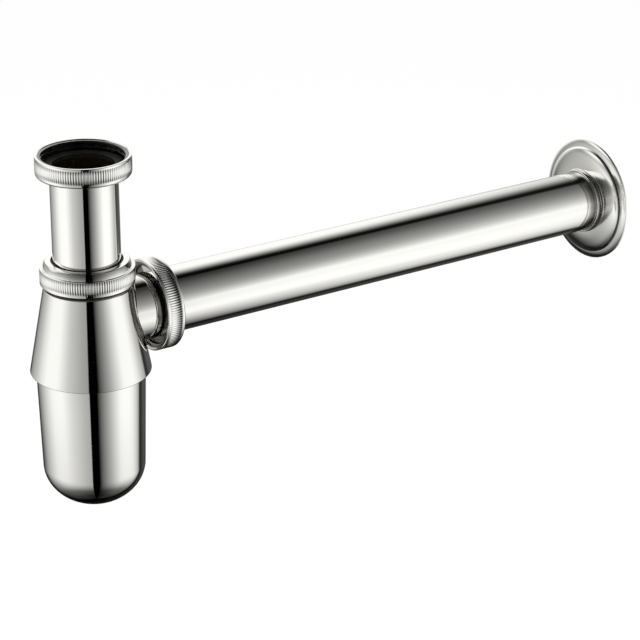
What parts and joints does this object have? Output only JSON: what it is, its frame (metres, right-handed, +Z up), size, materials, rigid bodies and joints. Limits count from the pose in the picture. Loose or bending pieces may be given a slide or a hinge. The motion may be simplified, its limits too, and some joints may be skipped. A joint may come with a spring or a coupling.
{
  "type": "bottle trap",
  "caption": "Chromed bottle trap for a wash basin: threaded inlet nut on a height-adjustable tube, conical body with screw-off bottle, and an outlet pipe with a wall flange.",
  "frame": {"origin": "middle of the mouth of the inlet union nut, where it screws onto the basin waste", "axes": "+Z up along the inlet axis out of the nut's mouth, +X along the outlet pipe towards the wall"},
  "size_m": [0.3412, 0.065, 0.1771],
  "materials": {
    "chrome_nut": "bright chrome plate on knurled brass",
    "chrome_tube": "bright chrome plate on brass tube",
    "chrome_pipe": "bright chrome plate on brass pipe, very slightly satin",
    "chrome_body": "bright chrome plate on cast brass",
    "chrome_bottle": "bright chrome plate on brass",
    "chrome_flange": "chrome plate on pressed sheet, slightly satin",
    "black_rubber": "matt moulded rubber",
    "slip_plastic": "matt moulded plastic"
  },
  "bodies": {
    "root": {"union_nut": "chrome_nut", "inlet_gasket": "black_rubber"},
    "inlet": {"inlet_tube": "chrome_tube"},
    "seal": {"tube_seal": "black_rubber"},
    "housing": {"trap_body": "chrome_body"},
    "nut_lift": {"slip_ring": "slip_plastic"},
    "top_nut": {"body_nut": "chrome_nut"},
    "outlet_joint": {"outlet_washer": "black_rubber"},
    "side_nut": {"outlet_nut": "chrome_nut"},
    "pipe": {"outlet_pipe": "chrome_pipe"},
    "flange": {"wall_flange": "chrome_flange"},
    "bottle_drop": {"bottle_seal": "black_rubber"},
    "cup": {"bottle": "chrome_bottle"}
  },
  "joints": [
    {"name": "inlet_swivel", "type": "hinge", "parent": "root", "child": "inlet", "pos_m": [0, 0, -0.0069], "axis": [0, 0, 1], "continuous": true},
    {"name": "height_slide", "type": "slide", "parent": "inlet", "child": "seal", "axis": [0, 0, 1], "range_m": [-0.025, 0.02]},
    {"name": "body_swivel", "type": "hinge", "parent": "seal", "child": "housing", "pos_m": [0, 0, -0.0582], "axis": [0, 0, 1], "continuous": true},
    {"name": "body_nut_rise", "type": "slide", "parent": "housing", "child": "nut_lift", "axis": [0, 0, 1], "range_m": [0, 0.00405]},
    {"name": "body_nut_turn", "type": "hinge", "parent": "nut_lift", "child": "top_nut", "pos_m": [0, 0, -0.0573], "axis": [0, 0, 1], "range_deg": [0, 630]},
    {"name": "outlet_joint_open", "type": "slide", "parent": "housing", "child": "outlet_joint", "axis": [1, 0, 0], "range_m": [0, 0.00231]},
    {"name": "outlet_nut_turn", "type": "hinge", "parent": "outlet_joint", "child": "side_nut", "pos_m": [0.0354, 0, -0.0822], "axis": [1, 0, 0], "range_deg": [0, 360]},
    {"name": "pipe_swivel", "type": "hinge", "parent": "outlet_joint", "child": "pipe", "pos_m": [0.0374, 0, -0.0822], "axis": [1, 0, 0], "continuous": true},
    {"name": "flange_slide", "type": "slide", "parent": "pipe", "child": "flange", "axis": [1, 0, 0], "range_m": [-0.25, 0]},
    {"name": "bottle_lower", "type": "slide", "parent": "housing", "child": "bottle_drop", "axis": [0, 0, -1], "range_m": [0, 0.00526]},
    {"name": "bottle_turn", "type": "hinge", "parent": "bottle_drop", "child": "cup", "pos_m": [0, 0, -0.14], "axis": [0, 0, -1], "range_deg": [0, 1260]}
  ],
  "couplings": [
    {"joint": "body_nut_rise", "follows": "body_nut_turn", "m_per_rad": 0.0003675},
    {"joint": "outlet_nut_turn", "follows": "outlet_joint_open", "rad_per_m": 2721.2},
    {"joint": "bottle_lower", "follows": "bottle_turn", "m_per_rad": 0.0002387}
  ]
}
